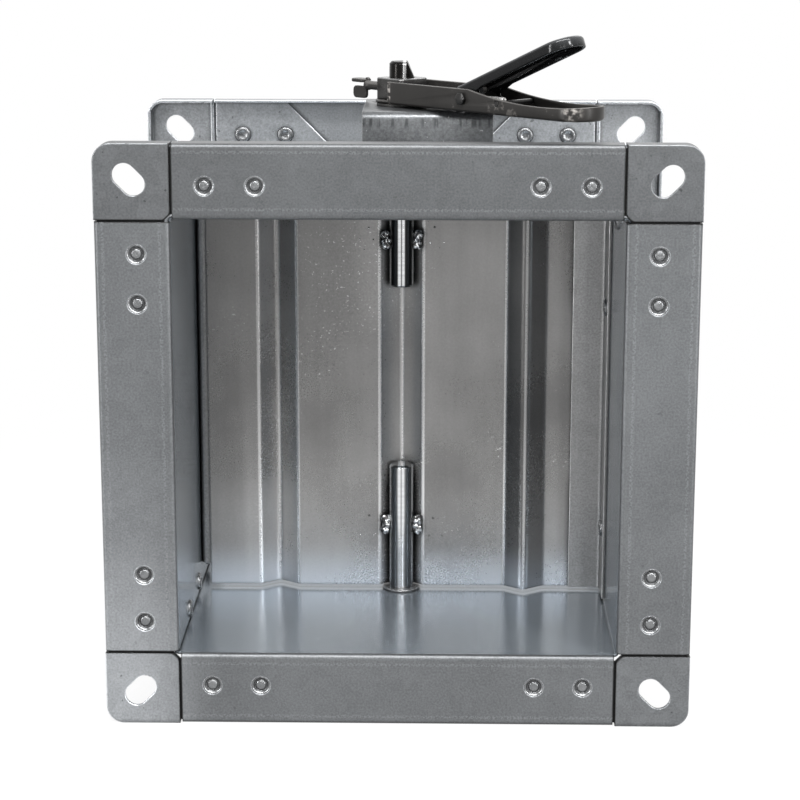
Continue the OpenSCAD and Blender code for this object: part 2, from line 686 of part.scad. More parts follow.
// Middle line of the spring: two straight ends and a close coil between them
tab_s = pivot_s + tab_x * cos(trigger_rise) - tab_hole * sin(trigger_rise);
tab_z = pivot_z + tab_x * sin(trigger_rise) + tab_hole * cos(trigger_rise);
coil_start = tab_s + 3.4;
coil_end = pin_s - pin_d / 2 - 2.2;
coil_z = (tab_z + pin_z) / 2;
coil_r = (spring_d - wire_d) / 2;
module return_spring() color("#8f9088") on_handle() translate([0, -spring_side, 0]) tube(concat(
    [[tab_s + 2.2, 0, tab_z + 0.2], [coil_start - 1, 0, coil_z]],
    [for (i = [0:spring_turns * 12]) let (f = i / (spring_turns * 12))
        [coil_start + f * (coil_end - coil_start), coil_r * sin(i * 30), coil_z + coil_r * cos(i * 30)]],
    [[coil_end + 0.9, 0, coil_z], [pin_s - pin_d / 2 - wire_d / 2 - 0.15, 0, pin_z]]), wire_d / 2);

casing_bottom_right();
casing_left_top();
place_plate(-1, 1, false);  // front_plate_top_left
place_plate(1, 1, false);  // front_plate_top_right
place_plate(-1, -1, false);  // front_plate_bottom_left
place_plate(1, -1, false);  // front_plate_bottom_right
place_plate(-1, 1, true);  // rear_plate_top_left
place_plate(1, 1, true);  // rear_plate_top_right
place_plate(-1, -1, true);  // rear_plate_bottom_left
place_plate(1, -1, true);  // rear_plate_bottom_right
front_flange_clinches();
rear_flange_clinches();
seam_clinches();
lower_bush();
upper_bush();
right_stop();
left_stop();
stop_clinches();
quadrant_bracket();
bracket_rivets();
thrust_washer();
blade();
lower_stub_shaft();
drive_shaft();
weld_beads();
shaft_clip();
handle_arm();
hub_block();
wing_screw();
pivot_bolt();
pivot_nut();
spring_pin();
return_spring();
trigger_lever();
lock_tooth();
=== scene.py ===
"""Square galvanised duct damper with a folded blade and a black locking hand lever."""
import json
import math

import bmesh
import bpy
from mathutils import Matrix, Vector, noise

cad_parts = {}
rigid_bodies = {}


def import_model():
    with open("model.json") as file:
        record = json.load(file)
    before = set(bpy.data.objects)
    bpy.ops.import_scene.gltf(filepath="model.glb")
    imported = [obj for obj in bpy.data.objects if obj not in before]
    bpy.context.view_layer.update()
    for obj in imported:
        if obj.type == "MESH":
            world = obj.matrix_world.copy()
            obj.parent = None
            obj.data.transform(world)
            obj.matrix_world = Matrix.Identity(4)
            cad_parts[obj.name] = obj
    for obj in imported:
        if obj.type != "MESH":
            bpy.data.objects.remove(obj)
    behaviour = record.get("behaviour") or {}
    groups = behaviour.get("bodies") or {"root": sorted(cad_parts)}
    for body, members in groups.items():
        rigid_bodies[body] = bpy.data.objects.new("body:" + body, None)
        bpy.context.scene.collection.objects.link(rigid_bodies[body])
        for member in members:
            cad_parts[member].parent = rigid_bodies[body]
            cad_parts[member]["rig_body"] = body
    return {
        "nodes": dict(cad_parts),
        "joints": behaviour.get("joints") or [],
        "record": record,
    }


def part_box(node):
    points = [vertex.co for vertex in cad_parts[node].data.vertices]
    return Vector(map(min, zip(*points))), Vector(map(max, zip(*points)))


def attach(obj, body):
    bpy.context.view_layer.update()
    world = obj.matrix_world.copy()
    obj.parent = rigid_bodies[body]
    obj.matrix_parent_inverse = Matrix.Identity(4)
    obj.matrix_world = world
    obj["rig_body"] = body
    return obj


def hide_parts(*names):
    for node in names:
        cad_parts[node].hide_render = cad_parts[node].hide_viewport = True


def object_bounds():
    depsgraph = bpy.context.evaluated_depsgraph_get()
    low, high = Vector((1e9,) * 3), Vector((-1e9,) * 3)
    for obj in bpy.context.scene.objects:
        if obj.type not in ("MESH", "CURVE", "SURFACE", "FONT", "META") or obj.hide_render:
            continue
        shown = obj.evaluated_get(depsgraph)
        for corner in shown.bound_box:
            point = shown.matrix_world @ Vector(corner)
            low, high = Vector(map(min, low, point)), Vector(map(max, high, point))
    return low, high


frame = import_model()
cad_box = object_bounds()
NODES = frame["nodes"]
MM = 0.001

# Camera: place and angles that give the photograph's view, for an 800 by 800 image
IMAGE_PX = 800
FOCAL_PX = 2297.7
SENSOR_MM = 36.0
CAMERA_PLACE = Vector((19.4, -996.2, 248.4)) * MM
CAMERA_YAW = math.radians(1.05)
CAMERA_PITCH = math.radians(12.93)
CAMERA_ROLL = math.radians(-0.07)

# Sizes read from the frame
CASE_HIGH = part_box("casing_bottom_right")[1]
FLOOR_Z = cad_box[0].z
SHAFT_Y = frame["joints"][0]["pos_m"][1]
PIVOT = Vector(frame["joints"][1]["pos_m"])
ARM_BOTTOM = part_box("handle_arm")[0].z
BRACKET_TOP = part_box("quadrant_bracket")[1].z

# Handle: turn of the arm, rise of the trigger and its back, the arm's round end, the painted highlights
# at both of its ends, and the height above which the shaft is black
HANDLE_TURN = math.radians(-45)
TRIGGER_RISE = math.radians(22.5)
TRIGGER_TOP = 0.0066
ARM_R = 0.0125
ARM_BEND_X = 0.111
ARM_START_X = -0.006
ARM_START = (0, SHAFT_Y, ARM_BOTTOM + 0.006)
ARM_TIP = (0.076, SHAFT_Y - 0.0905, ARM_BOTTOM + 0.0045)
SHAFT_BLACK_FROM = 0.135

# Duct: gap beside the corner plates, reach of the walls, faint marks along the flanges, and where
# its sheet gets painted light or shade: painted shade on the front's top flange, painted light at the
# rear, on the inner floor and in the lower left corner
GAP_AT = 0.09935
WALL_REACH = 0.1034
ROLL_MARKS = (0.1046, 0.1297)
FLANGE_FROM = 0.0995
FRONT_TO = 0.1
REAR_FROM = 0.19
INNER_FLOOR_Z = -0.101
CORNER_X = -0.125
CORNER_Z = -0.13
CRISP = 0.0002

# Blade: half thickness, foot, middle groove, stiffening folds, a cluster of flecks, and the welds
BLADE_HALF_T = 0.0006
BLADE_FOOT_Z = -0.099
GROOVE_HALF = 0.0106
FOLD_X = 0.0605
FOLD_HALF = 0.0096
FLECKS_AT = (-0.02, SHAFT_Y, 0.06)
WELD_LENGTH = 0.01


class Value:
    """An output socket of a node, whose operators add Math nodes."""

    def __init__(self, shader, socket):
        self.shader = shader
        self.socket = socket

    def math(self, operation, *others):
        return self.shader.add("ShaderNodeMath", {"operation": operation}, [self, *others])

    def __add__(self, other):
        return self.math("ADD", other)

    def __radd__(self, other):
        return self.math("ADD", other)

    def __sub__(self, other):
        return self.math("SUBTRACT", other)

    def __rsub__(self, other):
        return self.shader.add("ShaderNodeMath", {"operation": "SUBTRACT"}, [other, self])

    def __mul__(self, other):
        return self.math("MULTIPLY", other)

    def __rmul__(self, other):
        return self.math("MULTIPLY", other)

    def __pow__(self, other):
        return self.math("POWER", other)

    def __rpow__(self, other):
        return self.shader.add("ShaderNodeMath", {"operation": "POWER"}, [other, self])

    def above(self, edge, width):
        """0 below edge, 1 above edge + width, smooth between them."""
        return self.shader.add(
            "ShaderNodeMapRange", {"interpolation_type": "SMOOTHSTEP", "clamp": True},
            [self, edge, edge + width, 0.0, 1.0])


class Shader:
    """The nodes of a material or of the world, added one call at a time."""

    def __init__(self, holder):
        self.holder = holder
        holder.use_nodes = True
        self.nodes = holder.node_tree.nodes
        self.links = holder.node_tree.links
        self.nodes.clear()
        self.place = self.add("ShaderNodeTexCoord", {}, [], output="Object")

    def add(self, kind, settings, inputs, output=0):
        node = self.nodes.new(kind)
        for key, value in settings.items():
            setattr(node, key, value)
        pairs = inputs.items() if isinstance(inputs, dict) else enumerate(inputs)
        for key, value in pairs:
            if isinstance(value, Value):
                self.links.new(value.socket, node.inputs[key])
            elif value is not None:
                node.inputs[key].default_value = value
        return Value(self, node.outputs[output]) if node.outputs else None

    def scaled(self, x, y, z):
        return self.add("ShaderNodeVectorMath", {"operation": "MULTIPLY"}, [self.place, (x, y, z)])

    def noise(self, per_metre, detail=3.0, roughness=0.5, stretch=(1, 1, 1)):
        where = self.scaled(*stretch)
        return self.add("ShaderNodeTexNoise", {"noise_dimensions": "3D"},
                        {"Vector": where, "Scale": per_metre, "Detail": detail,
                         "Roughness": roughness}, output="Fac")

    def cells(self, per_metre, output="Color"):
        return self.add("ShaderNodeTexVoronoi", {"feature": "F1"},
                        {"Vector": self.place, "Scale": per_metre}, output=output)

    def axis(self, letter):
        return self.add("ShaderNodeSeparateXYZ", {}, [self.place], output=letter)

    def mix(self, a, b, factor):
        return self.add("ShaderNodeMix", {"data_type": "RGBA"}, {0: factor, 6: a, 7: b}, output=2)

    def tinted(self, colour, factor):
        if isinstance(factor, Value):
            factor = self.add("ShaderNodeCombineColor", {}, [factor, factor, factor])
        else:
            factor = (factor, factor, factor, 1.0)
        return self.add("ShaderNodeMix", {"data_type": "RGBA", "blend_type": "MULTIPLY"},
                        {0: 1.0, 6: colour, 7: factor}, output=2)

    def edges(self, radius):
        return self.add("ShaderNodeBevel", {"samples": 6}, {"Radius": radius})

    def worn(self, radius):
        """1 along edges that the radius would round off, 0 on flat faces."""
        flat = self.add("ShaderNodeNewGeometry", {}, [], output="Normal")
        same = self.add("ShaderNodeVectorMath", {"operation": "DOT_PRODUCT"},
                        [self.edges(radius), flat], output="Value")
        return (1 - same).above(0.008, 0.14)

    def facing_up(self):
        normal = self.add("ShaderNodeNewGeometry", {}, [], output="Normal")
        return self.add("ShaderNodeSeparateXYZ", {}, [normal], output="Z").above(0.12, 0.5)

    def line(self, across, middle, half):
        """1 on a line where the value across equals middle, fading out at half its width."""
        return 1 - (across - middle).math("ABSOLUTE").above(half * 0.4, half * 0.6)

    def distance(self, place):
        return self.add("ShaderNodeVectorMath", {"operation": "DISTANCE"}, [self.place, place],
                        output="Value")

    def crevice(self, distance):
        """1 in the open, near 0 where other surfaces close in."""
        return self.add("ShaderNodeAmbientOcclusion", {"samples": 8}, {"Distance": distance},
                        output="AO")

    def bump(self, height, depth, strength=1.0, under=None):
        return self.add("ShaderNodeBump", {},
                        {"Strength": strength, "Distance": depth, "Height": height, "Normal": under})

    def finish(self, **inputs):
        named = {key.replace("_", " "): value for key, value in inputs.items()}
        return self.close(self.add("ShaderNodeBsdfPrincipled", {}, named, output="BSDF"))

    def close(self, surface, kind="ShaderNodeOutputMaterial"):
        self.add(kind, {}, {"Surface": surface})
        return self.holder


def new_finish(name):
    return Shader(bpy.data.materials.new(name))


def grey(level, warm=0.0):
    """A near-grey colour: warm above 0 is browner, below 0 bluer."""
    return (level * (1 + warm), level, level * (1 - warm), 1.0)


def on_wall(x_out, z_out, depth):
    """1 on the duct's walls, 0 on its flanges and corner plates."""
    beside = (WALL_REACH - x_out).above(0, 0.0003) * (WALL_REACH - z_out).above(0, 0.0003)
    return beside * depth.above(0.0022, 0.0005)


def plate_gap(s, x_out, z_out):
    """1 in the gaps along the corner plates and across their inner corners."""
    half = 0.0012
    past_x, past_z = x_out.above(GAP_AT, CRISP), z_out.above(GAP_AT, CRISP)
    straight = s.line(x_out, GAP_AT, half) * past_z + s.line(z_out, GAP_AT, half) * past_x
    slanted = s.line(x_out + z_out, GAP_AT * 2 + 0.0026, half * 2)
    return straight + slanted * past_x * past_z


def roll_marks(s, x_out, z_out):
    """1 on the lines that rolling left along the flanges."""
    half = 0.0009
    upright = sum(s.line(x_out, place, half) for place in ROLL_MARKS)
    level = sum(s.line(z_out, place, half) for place in ROLL_MARKS)
    return upright * (1 - z_out.above(GAP_AT, CRISP)) + level * (1 - x_out.above(GAP_AT, CRISP))


def galvanised(name, dark, light, rough, edge, specks=0.5, spangle=0.25, warm=-0.035, wall_sky_tint=None):
    """Zinc-coated sheet: fine grain, faint spangle, cloudy patches, dull specks and light scratches,
    with painted light, shade and sky reflection laid on by place.
    """
    s = new_finish(name)
    across, depth, height = s.axis("X"), s.axis("Y"), s.axis("Z")
    x_out, z_out = across.math("ABSOLUTE"), height.math("ABSOLUTE")
    grain = s.noise(1050, detail=3, roughness=0.65)
    cloud = s.noise(16, detail=3)
    flake = s.add("ShaderNodeRGBToBW", {}, [s.cells(210)])
    tone = (grain - 0.5) * 2.6 + (cloud - 0.5) * 1.1 + (flake - 0.5) * spangle + 0.5
    speck = s.noise(330, detail=1).above(0.72, 0.03) * specks
    scratch = s.noise(420, detail=3, stretch=(1, 1, 0.12)).above(0.76, 0.02) * specks
    colour = s.mix(grey(dark, warm), grey(light, warm), tone)
    colour = s.mix(colour, grey(dark * 0.4, warm), speck)
    colour = s.mix(colour, grey(light * 2, warm), scratch * 0.5)
    roughness = rough + (cloud - 0.5) * 0.15 + (grain - 0.5) * 0.2 + speck * 0.15

    # Rubbed and chipped edges
    rim = s.worn(edge)
    colour = s.mix(colour, grey(light * 3.2, warm), rim * (0.35 + cloud * 0.6))
    chip = s.noise(420, detail=2).above(0.6, 0.05) * rim * specks
    colour = s.mix(colour, grey(dark * 0.15, warm), chip)

    # Painted light at the rear and in the lower left corner, painted shade on the front's top flange
    colour = s.mix(colour, s.tinted(colour, 2.1), depth.above(REAR_FROM, 0.004))
    top_flange_shade = height.above(FLANGE_FROM, 0.0005) * (1 - depth.above(FRONT_TO, 0.01))
    colour = s.mix(colour, s.tinted(colour, 0.78), top_flange_shade)
    glow = (1 - height.above(CORNER_Z, 0.16)) * (1 - across.above(CORNER_X, 0.045))
    colour = s.mix(colour, s.tinted(colour, 2.1), glow)
    # Painted sky reflection on the duct's inner walls, with painted light brighter towards their floor
    if wall_sky_tint:
        wall = on_wall(x_out, z_out, depth)
        wall_with_floor_light = s.mix(wall_sky_tint, s.tinted(wall_sky_tint, 1.25), 1 - height.above(INNER_FLOOR_Z, 0.012))
        colour = s.mix(colour, wall_with_floor_light, wall * 0.85)
        roughness = roughness - wall * 0.2

    # Painted shadow in the gaps, faint marks, and painted shade in the corners
    gap = plate_gap(s, x_out, z_out) * (1 - depth.above(0.0018, 0.0008))
    colour = s.mix(colour, grey(0.004), gap)
    marks = roll_marks(s, x_out, z_out) * grain.above(0.42, 0.16) * (1 - depth.above(0.0004, 0.0004))
    colour = s.mix(colour, grey(light * 2.2, warm), marks * 0.16)
    # Painted shade where other surfaces close in
    colour = s.mix(grey(0.012), colour, s.crevice(0.0022) ** 1.6)
    normal = s.bump(grain + flake * 0.1, 0.00005, 0.55, under=s.edges(edge))
    return s.finish(Base_Color=colour, Metallic=0.72, Roughness=roughness, Normal=normal)


def blade_sheet():
    """Smoother zinc-coated sheet, softly clouded, with clusters of bright flecks, painted light and
    shade, and painted highlights along its bends.
    """
    s = new_finish("blade_sheet_finish")
    rolled = s.noise(200, detail=4, roughness=0.6, stretch=(1, 1, 0.08))
    cloud = s.noise(15, detail=3, roughness=0.5)
    fine = s.noise(950, detail=3, roughness=0.7)
    across, height = s.axis("X"), s.axis("Z")
    out = across.math("ABSOLUTE")
    away = s.distance(FLECKS_AT)
    near = (1 - away.above(0.012, 0.035)).math("MAXIMUM", s.noise(26, detail=2).above(0.57, 0.14))
    fleck = s.noise(800, detail=1).above(0.69, 0.05) * near
    tone = (rolled - 0.5) * 0.3 + (cloud - 0.5) * 1.7 + (fine - 0.5) * (0.5 + near * 0.75) + 0.5
    colour = s.mix(grey(0.14, 0.015), grey(0.3, 0.015), tone)
    colour = s.mix(colour, grey(0.95), fleck * 0.45)

    # Folds and the groove: painted light in the groove and on the valley fold, painted shade on the
    # ridge fold, and painted highlights along their bends
    in_groove = 1 - out.above(GROOVE_HALF - 0.002, 0.0015)
    valley = (1 - across.above(FOLD_HALF - FOLD_X - 0.001, 0.001)) * across.above(-FOLD_X, 0.002)
    ridge = across.above(FOLD_X - FOLD_HALF, 0.002) * (1 - across.above(FOLD_X, 0.002))
    colour = s.tinted(colour, 1 + in_groove * 0.75 + valley * 1.3 - ridge * 0.5)
    bends = ((out, GROOVE_HALF, 0.0011, 1.0), (out, FOLD_X, 0.0009, 0.6),
             (out, FOLD_X - FOLD_HALF, 0.0009, 1.0), (across, -FOLD_X - FOLD_HALF, 0.0009, 0.7),
             (across, 0.0004, 0.0006, 0.7))
    lines = sum(s.line(value, place, half) * bright for value, place, half, bright in bends)
    colour = s.mix(colour, grey(0.75), lines * (0.3 + rolled * 0.5))

    # Painted light towards the foot, painted shade at the upper left and along both sides
    colour = s.tinted(colour, 1.35 - height.above(-0.1, 0.11) * 0.45 - height.above(-0.01, 0.11) * 0.2)
    upper_left = height.above(-0.03, 0.09) * (1 - across.above(-0.03, 0.02))
    shaded = upper_left.math("MAXIMUM", out.above(0.075, 0.005) * 0.7)
    colour = s.mix(colour, s.tinted(colour, 0.72), shaded)
    # Painted bluish reflection of light along the blade's foot
    foot = 1 - height.above(BLADE_FOOT_Z, 0.024)
    colour = s.mix(colour, (0.56, 0.61, 0.68, 1), foot * 0.55)
    colour = s.mix(colour, grey(0.7, 0.01), s.worn(0.0008) * 0.3)
    # Painted shade where surfaces close in, deeper beside the shafts
    by_shaft = height.math("ABSOLUTE").above(0.035, 0.015)
    unshaded = s.crevice(0.0016) * (1 - by_shaft) + s.crevice(0.003) ** 1.8 * by_shaft
    colour = s.mix(grey(0.006), colour, unshaded)
    normal = s.bump(rolled * 0.5 + fine * (0.3 + near * 0.35), 0.00004, 0.4, under=s.edges(0.0012))
    return s.finish(Base_Color=colour, Metallic=0.82,
                    Roughness=0.29 + (cloud - 0.5) * 0.25 + (fine - 0.5) * 0.1 - lines * 0.06,
                    Normal=normal)


def bright_bar():
    """Drawn steel bar with turned rings, painted shade and painted highlight streaks, black where it
    stands out of the duct.
    """
    s = new_finish("bright_bar_finish")
    rings = s.noise(900, detail=2, stretch=(0.05, 0.05, 1))
    stain = s.noise(70, detail=3)
    colour = s.mix(grey(0.16, -0.03), grey(0.38, -0.02), rings * 0.4 + stain * 0.6)
    across, height = s.axis("X"), s.axis("Z")
    out = across.math("ABSOLUTE")
    # Painted shade towards the top and on both sides, and painted highlight streaks down the middle
    colour = s.tinted(colour, 1.3 - height.above(-0.05, 0.1) * 0.6 - s.line(out, 0.0031, 0.0034) * 0.6)
    painted_streaks = s.line(across, -0.001, 0.001) + s.line(across, 0.00095, 0.0009) \
        + s.line(out, 0.0056, 0.0008) * 0.4
    colour = s.mix(colour, grey(0.92, -0.01), painted_streaks * (0.5 + rings * 0.4))
    outside = height.above(SHAFT_BLACK_FROM, 0.004)
    black = s.mix(grey(0.004, 0.05), grey(0.02, 0.05), stain)
    # Painted highlight streak on the black part
    black = s.mix(black, grey(0.7), s.line(across, 0.0013, 0.001) * (stain * 1.5 - 0.1))
    colour = s.mix(colour, black, outside)
    return s.finish(Base_Color=colour, Metallic=0.95, Roughness=0.12 + stain * 0.1 + outside * 0.05,
                    Normal=s.bump(rings, 0.00003, 0.35, under=s.edges(0.0006)))


def weld_metal():
    """Rippled, shiny weld with a darker heat tint in its hollows."""
    s = new_finish("weld_finish")
    ripple = s.noise(650, detail=3)
    colour = s.mix(grey(0.07, 0.02), grey(0.75), ripple.above(0.42, 0.16))
    return s.finish(Base_Color=colour, Metallic=1.0, Roughness=0.1 + ripple * 0.2,
                    Normal=s.bump(ripple, 0.0008, 0.9))


def black_steel(name, level, rough, worn, warm=0.02, painted_top_light=0.5):
    """Black finish on pressed steel: faint orange peel, metal showing at rubbed places, painted
    highlights at the arm's ends and painted light on faces turned up.
    """
    s = new_finish(name)
    peel = s.noise(500, detail=2)
    cloud = s.noise(45, detail=4, roughness=0.6)
    rub_and_highlight = (cloud * 0.6 + peel * 0.4).above(0.62, 0.06) * worn
    colour = s.mix(grey(level * 0.6, warm), grey(level * 1.4, warm), cloud)
    # Real rubbing, plus painted highlights along the arm's end by the hub and on its round tip
    highlight_by_hub = 1 - s.distance(ARM_START).above(0.014, 0.008)
    rub_and_highlight = rub_and_highlight + s.line(s.axis("X"), ARM_START_X, 0.0009) * highlight_by_hub * peel.above(0.42, 0.2) * 0.7
    tip_highlight = 1 - s.distance(ARM_TIP).above(0.001, 0.005)
    rub_and_highlight = rub_and_highlight + tip_highlight * (cloud * 0.3 + peel * 0.7).above(0.44, 0.2) * 0.7
    colour = s.mix(colour, grey(0.45, warm), rub_and_highlight * 0.8)
    # Painted light on faces turned up
    colour = s.mix(colour, grey(0.3, warm * 0.5), s.facing_up() * (cloud - 0.1) * painted_top_light)
    return s.finish(Base_Color=colour, Metallic=0.2, Specular_IOR_Level=0.22,
                    Roughness=rough + (cloud - 0.5) * 0.25,
                    Normal=s.bump(peel, 0.00006, 0.4, under=s.edges(0.0005)))


def plated(name, dark, light, warm, rough, metal=0.8, shaded=True, painted_top_light=0.0):
    """Dull plating on small steel parts, stained unevenly, with painted shade in crevices and painted
    light on faces turned up where asked.
    """
    s = new_finish(name)
    stain = s.noise(170, detail=4, roughness=0.6)
    fine = s.noise(700, detail=2)
    colour = s.mix(grey(dark, warm), grey(light, warm * 0.5), (stain - 0.5) * 1.6 + 0.5)
    # Painted shade in crevices
    if shaded:
        colour = s.mix(grey(0.01), colour, s.crevice(0.002) ** 1.3)
    # Painted light on faces turned up
    if painted_top_light:
        colour = s.mix(colour, grey(0.5), s.facing_up() * (stain * 1.4 - 0.2) * painted_top_light)
    return s.finish(Base_Color=colour, Metallic=metal, Roughness=rough + (stain - 0.5) * 0.25,
                    Normal=s.bump(fine + stain, 0.00006, 0.5, under=s.edges(0.0005)))


def bracket_zinc():
    """Plated thick strip with fine grain, cloudy stains, small die marks under its bend and painted
    shade in its corners.
    """
    s = new_finish("bracket_finish")
    grain = s.noise(900, detail=3, roughness=0.65)
    stain = s.noise(60, detail=4, roughness=0.6)
    tone = (grain - 0.5) * 1.8 + (stain - 0.5) * 0.9 + 0.5
    colour = s.mix(grey(0.075, -0.035), grey(0.17, -0.035), tone)
    height = s.axis("Z")
    below = BRACKET_TOP - height
    under_bend = below.above(0.0028, 0.0006) * (1 - below.above(0.0055, 0.003))
    mark = s.noise(420, detail=2, stretch=(1, 1, 0.1)).above(0.5, 0.12) * under_bend
    colour = s.mix(colour, grey(0.03, -0.05), mark * 0.75)
    dot = s.noise(520, detail=1).above(0.75, 0.03)
    colour = s.mix(colour, grey(0.6), dot * 0.5)
    colour = s.mix(colour, grey(0.6), s.worn(0.0008) * (0.3 + stain * 0.5))
    # Painted shade where other surfaces close in
    colour = s.mix(grey(0.01), colour, s.crevice(0.002) ** 1.3)
    return s.finish(Base_Color=colour, Metallic=0.75, Roughness=0.34 + (stain - 0.5) * 0.2,
                    Normal=s.bump(grain, 0.00005, 0.5, under=s.edges(0.0006)))


FINISHES = {
    "galvanised_sheet": galvanised("galvanised_sheet_finish", 0.09, 0.14, 0.38, 0.0009, specks=0.25,
                                   wall_sky_tint=(0.205, 0.232, 0.258, 1)),
    "stamped_plate": galvanised("stamped_plate_finish", 0.095, 0.15, 0.4, 0.001, specks=0.7,
                                spangle=0.4),
    "clinch_steel": plated("clinch_finish", 0.13, 0.21, -0.03, 0.27, metal=0.8),
    "blade_sheet": blade_sheet(),
    "bright_bar": bright_bar(),
    "weld_metal": weld_metal(),
    "bush": plated("bush_finish", 0.12, 0.3, -0.02, 0.25),
    "bracket_zinc": bracket_zinc(),
    "washer_zinc": plated("washer_finish", 0.03, 0.08, 0.05, 0.4),
    "hub_zinc": plated("hub_finish", 0.012, 0.075, 0.04, 0.26, painted_top_light=0.8),
    "dark_bolt": plated("bolt_finish", 0.008, 0.04, 0.03, 0.3),
    "spring_wire": plated("spring_finish", 0.5, 0.9, 0.03, 0.3, metal=0.4, shaded=False),
    "black_steel": black_steel("black_steel_finish", 0.016, 0.36, 0.15, warm=0.07),
    "black_gloss": black_steel("black_gloss_finish", 0.006, 0.16, 0.4, warm=-0.05, painted_top_light=0.35),
    "stop_sheet": galvanised("stop_finish", 0.17, 0.27, 0.34, 0.0008, specks=0.2, warm=0.0),
}
SLOT_OF = {row["node"]: row["material_slot"] for row in frame["record"]["subparts"]}


def dress(piece, slot):
    piece.data.materials.clear()
    piece.data.materials.append(FINISHES[slot])


def smooth_by_angle(mesh, degrees=32):
    mesh.shade_smooth()
    mesh.set_sharp_from_angle(angle=math.radians(degrees))


def as_piece(name, bm, body, slot, replaced=()):
    """Turns a bmesh into a piece that rides on a body."""
    mesh = bpy.data.meshes.new(name)
    bm.to_mesh(mesh)
    bm.free()
    piece = bpy.data.objects.new(name, mesh)
    bpy.context.scene.collection.objects.link(piece)
    smooth_by_angle(mesh)
    dress(piece, slot)
    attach(piece, body)
    if replaced:
        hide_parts(*replaced)
    return piece


def clean_copy(node):
    """The node's mesh with its triangles merged back into whole faces."""
    bm = bmesh.new()
    bm.from_mesh(NODES[node].data)
    bmesh.ops.remove_doubles(bm, verts=bm.verts, dist=0.000002)
    bmesh.ops.dissolve_limit(bm, angle_limit=math.radians(0.4), verts=bm.verts, edges=bm.edges,
                             use_dissolve_boundaries=False)
    return bm


def rounded(node, name, small, large=None, is_large=None, segments=3):
    """A copy of a node with rounded edges: large ones where is_large says so, small elsewhere."""
    slot = SLOT_OF[node]
    body = NODES[node]["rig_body"]
    bm = clean_copy(node)
    width = large or small
    weight = bm.edges.layers.float.new("bevel_weight_edge")
    for edge in bm.edges:
        if len(edge.link_faces) == 2 and edge.calc_face_angle(0) > math.radians(50):
            edge[weight] = 1.0 if large and is_large(edge) else small / width
    piece = as_piece(name, bm, body, slot, [node])
    bevel = piece.modifiers.new("edges", "BEVEL")
    bevel.limit_method = "WEIGHT"
    bevel.width = width
    bevel.segments = segments
    bevel.use_clamp_overlap = False
    bevel.loop_slide = True
    apply_modifiers(piece)
    smooth_by_angle(piece.data)


def apply_modifiers(piece):
    graph = bpy.context.evaluated_depsgraph_get()
    made = bpy.data.meshes.new_from_object(piece.evaluated_get(graph))
    piece.modifiers.clear()
    piece.data = made


def dress_nodes():
    for name, node in NODES.items():
        dress(node, "stop_sheet" if name in ("left_stop", "right_stop") else SLOT_OF[name])
        smooth_by_angle(node.data)


def in_arm(point):
    """A point in the handle's own axes: X along the arm, Y to its far side, from the shaft."""
    return Matrix.Rotation(-HANDLE_TURN, 3, "Z") @ (point - Vector((0, SHAFT_Y, 0)))


def in_trigger(point):
    """A point in the trigger's own axes: X along it from the pivot, Z away from its back."""
    turned = Matrix.Rotation(TRIGGER_RISE, 3, "Y") @ Matrix.Rotation(-HANDLE_TURN, 3, "Z")
    return turned @ (point - PIVOT)


def under_arm(edge):
    floor = min(v.co.z for v in edge.verts)
    centre = in_arm((edge.verts[0].co + edge.verts[1].co) / 2)
    return floor < ARM_BOTTOM + 0.00002 and all(v.co.z < ARM_BOTTOM + 0.0001 for v in edge.verts) \
        and Vector((max(0, centre.x - ARM_BEND_X), centre.y)).length > ARM_R - 0.0006


def on_trigger_back(edge):
    places = [in_trigger(v.co) for v in edge.verts]
    middle = (places[0] + places[1]) / 2
    return all(abs(place.z - TRIGGER_TOP) < 0.0001 for place in places) and middle.x > 0.002


def make_rounded_parts():
    """Soft edges on the handle, its hub and pivot, and the bracket."""
    rounded("quadrant_bracket", "bracket_soft", 0.0004, segments=2)
    rounded("hub_block", "hub_soft", 0.0006)
    rounded("pivot_bolt", "pivot_soft", 0.0003, segments=2)
    rounded("handle_arm", "arm_soft", 0.0004, 0.0013, under_arm)
    rounded("trigger_lever", "trigger_soft", 0.0004, 0.0016, on_trigger_back, segments=4)


def weld_lump(bm, place, size, seed):
    """A ball of weld, stretched and dented by noise."""
    made = bmesh.ops.create_icosphere(bm, subdivisions=4, radius=1.0)
    for vert in made["verts"]:
        swell = 1 + 0.28 * noise.noise(vert.co * 1.3 + Vector((seed, 0, 0))) \
            + 0.1 * noise.noise(vert.co * 3.7 + Vector((0, seed, 0)))
        vert.co = Vector(place) + Vector((vert.co.x * size[0], vert.co.y * size[1],
                                          vert.co.z * size[2])) * swell


# Lumps of one weld: their shift outwards, back and along, their half sizes and a change of seed
WELD_LUMPS = ((0, 0, 0.0022, (0.0023, 0.0021, 0.0027), 0),
              (0.0004, 0, -0.0024, (0.0021, 0.0019, 0.0025), 5),
              (-0.0006, -0.0002, 0, (0.002, 0.0022, 0.002), 9))
SPATTER_FROM = 0.0115
SPATTER_STEP = 0.0022
SPATTER_REACH = 0.006


